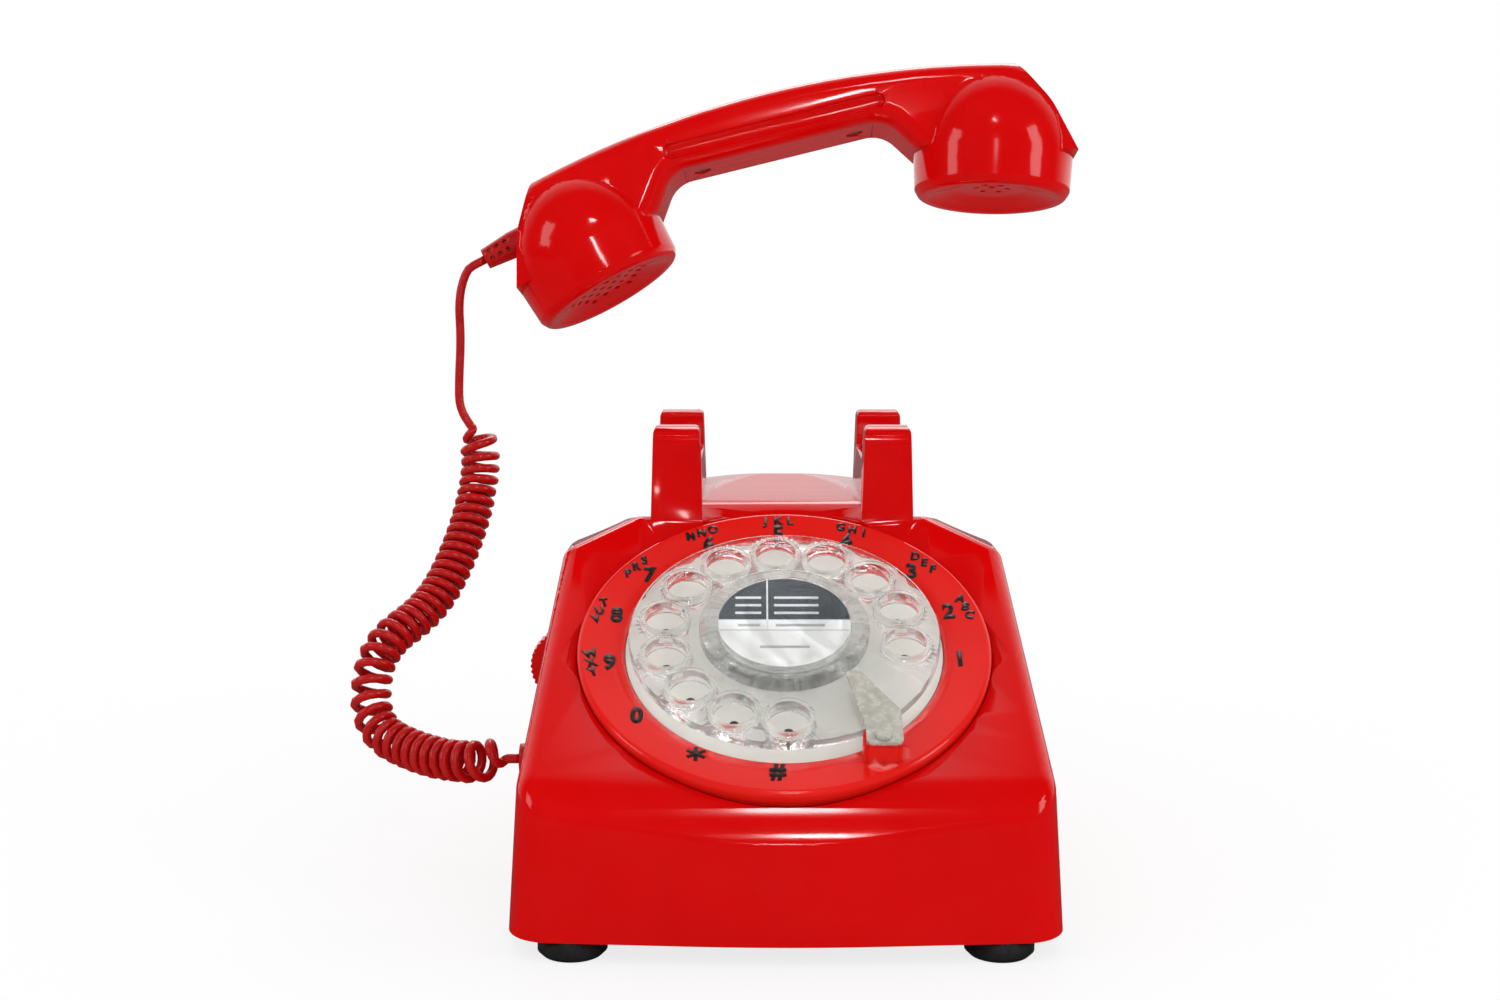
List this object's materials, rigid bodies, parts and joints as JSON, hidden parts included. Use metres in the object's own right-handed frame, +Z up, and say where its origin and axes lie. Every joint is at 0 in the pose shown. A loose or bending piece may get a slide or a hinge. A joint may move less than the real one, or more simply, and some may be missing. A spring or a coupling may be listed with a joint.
{
  "type": "rotary telephone",
  "caption": "Desk telephone in red gloss plastic with a sloped rotary dial, a clear finger wheel, cradle horns and a handset on a curly cord, shown lifted.",
  "frame": {"origin": "under the middle of the whole telephone with its handset lifted, on the surface that it stands on", "axes": "+X to the right of a person who faces the dial, +Y away from them, +Z up"},
  "size_m": [0.2682, 0.2132, 0.2949],
  "materials": {
    "red_plastic": "gloss",
    "cord_plastic": "satin",
    "clear_plastic": "clear",
    "pale_plate": "satin",
    "button_plastic": "satin",
    "card": "matt",
    "stop_metal": "polished",
    "steel": "brushed",
    "brass": "satin",
    "foot_rubber": "matt",
    "base_metal": "satin",
    "gear_plastic": "satin",
    "plunger_plastic": "satin",
    "board": "satin",
    "black_plastic": "satin",
    "speaker_iron": "satin",
    "cone_paper": "matt",
    "weight_iron": "matt"
  },
  "bodies": {
    "base": {"base_plate": "base_metal", "base_screws": "steel", "board_screws": "steel", "board_standoffs": "steel", "cord_plug": "cord_plastic", "dial_bridge": "steel", "dial_bush": "brass", "dial_frame": "steel", "dial_plate": "pale_plate", "dial_screws": "steel", "finger_stop": "stop_metal", "foot_front_left": "foot_rubber", "foot_front_right": "foot_rubber", "foot_rear_left": "foot_rubber", "foot_rear_right": "foot_rubber", "handset_socket": "black_plastic", "hook_switch": "black_plastic", "housing": "red_plastic", "line_socket": "black_plastic", "loudspeaker": "speaker_iron", "main_board": "board", "number_ring": "red_plastic", "pulse_contacts": "brass", "return_spring": "steel", "speaker_cone": "cone_paper", "speaker_switch": "black_plastic", "stop_screw": "stop_metal", "switch_bracket": "steel", "volume_pot": "black_plastic"},
    "dial": {"finger_wheel": "clear_plastic", "card_bezel": "clear_plastic", "dial_shaft": "brass", "dial_gear": "gear_plastic", "button_spring": "steel"},
    "pinion": {"governor_pinion": "gear_plastic"},
    "button": {"centre_button": "button_plastic", "number_card": "card", "card_lens": "clear_plastic"},
    "volume": {"volume_wheel": "red_plastic"},
    "hook": {"plunger_left": "plunger_plastic", "plunger_right": "plunger_plastic", "hook_bar": "steel"},
    "cord": {"handset_cord": "cord_plastic"},
    "handset": {"handset_body": "red_plastic", "handset_grip": "red_plastic", "grip_screws": "steel", "handset_weight": "weight_iron", "ear_cap": "red_plastic", "mouth_cap": "red_plastic", "receiver": "black_plastic", "microphone": "black_plastic", "cord_boot": "cord_plastic"}
  },
  "joints": [
    {"name": "dial_spin", "type": "hinge", "parent": "base", "child": "dial", "pos_m": [0.0028, -0.0377, 0.0921], "axis": [0, 0.4955, -0.8686], "range_deg": [0, 321], "stiffness_Nm_per_rad": 0.006, "springref_deg": -85.94, "deforming": ["return_spring"]},
    {"name": "pinion_spin", "type": "hinge", "parent": "base", "child": "pinion", "pos_m": [-0.0362, -0.0377, 0.0921], "axis": [0, 0.4955, -0.8686], "range_deg": [-1071, 0]},
    {"name": "button_press", "type": "slide", "parent": "dial", "child": "button", "axis": [0, 0.4955, -0.8686], "range_m": [0, 0.0015], "stiffness_N_per_m": 500, "springref_m": -0.002, "deforming": ["button_spring"]},
    {"name": "volume_turn", "type": "hinge", "parent": "base", "child": "volume", "pos_m": [-0.075, -0.01, 0.0775], "axis": [0, 1, 0], "range_deg": [-135, 135]},
    {"name": "handset_lift", "type": "slide", "parent": "base", "child": "cord", "axis": [0.0623, -0.0346, 0.9975], "range_m": [-0.0867, 0], "deforming": ["handset_cord"]},
    {"name": "handset_tilt", "type": "hinge", "parent": "cord", "child": "handset", "pos_m": [-0.1111, 0.0562, 0.22141], "axis": [-0.6782, -0.7349, 0], "range_deg": [-18.8, 0]},
    {"name": "hook_press", "type": "slide", "parent": "base", "child": "hook", "axis": [0, 0, 1], "range_m": [-0.006, 0]}
  ],
  "couplings": [
    {"joint": "pinion_spin", "follows": "dial_spin", "ratio": -3.3333},
    {"joint": "handset_tilt", "follows": "handset_lift", "rad_per_m": 3.7826},
    {"joint": "hook_press", "follows": "handset_lift", "ratio": 0.06909}
  ]
}
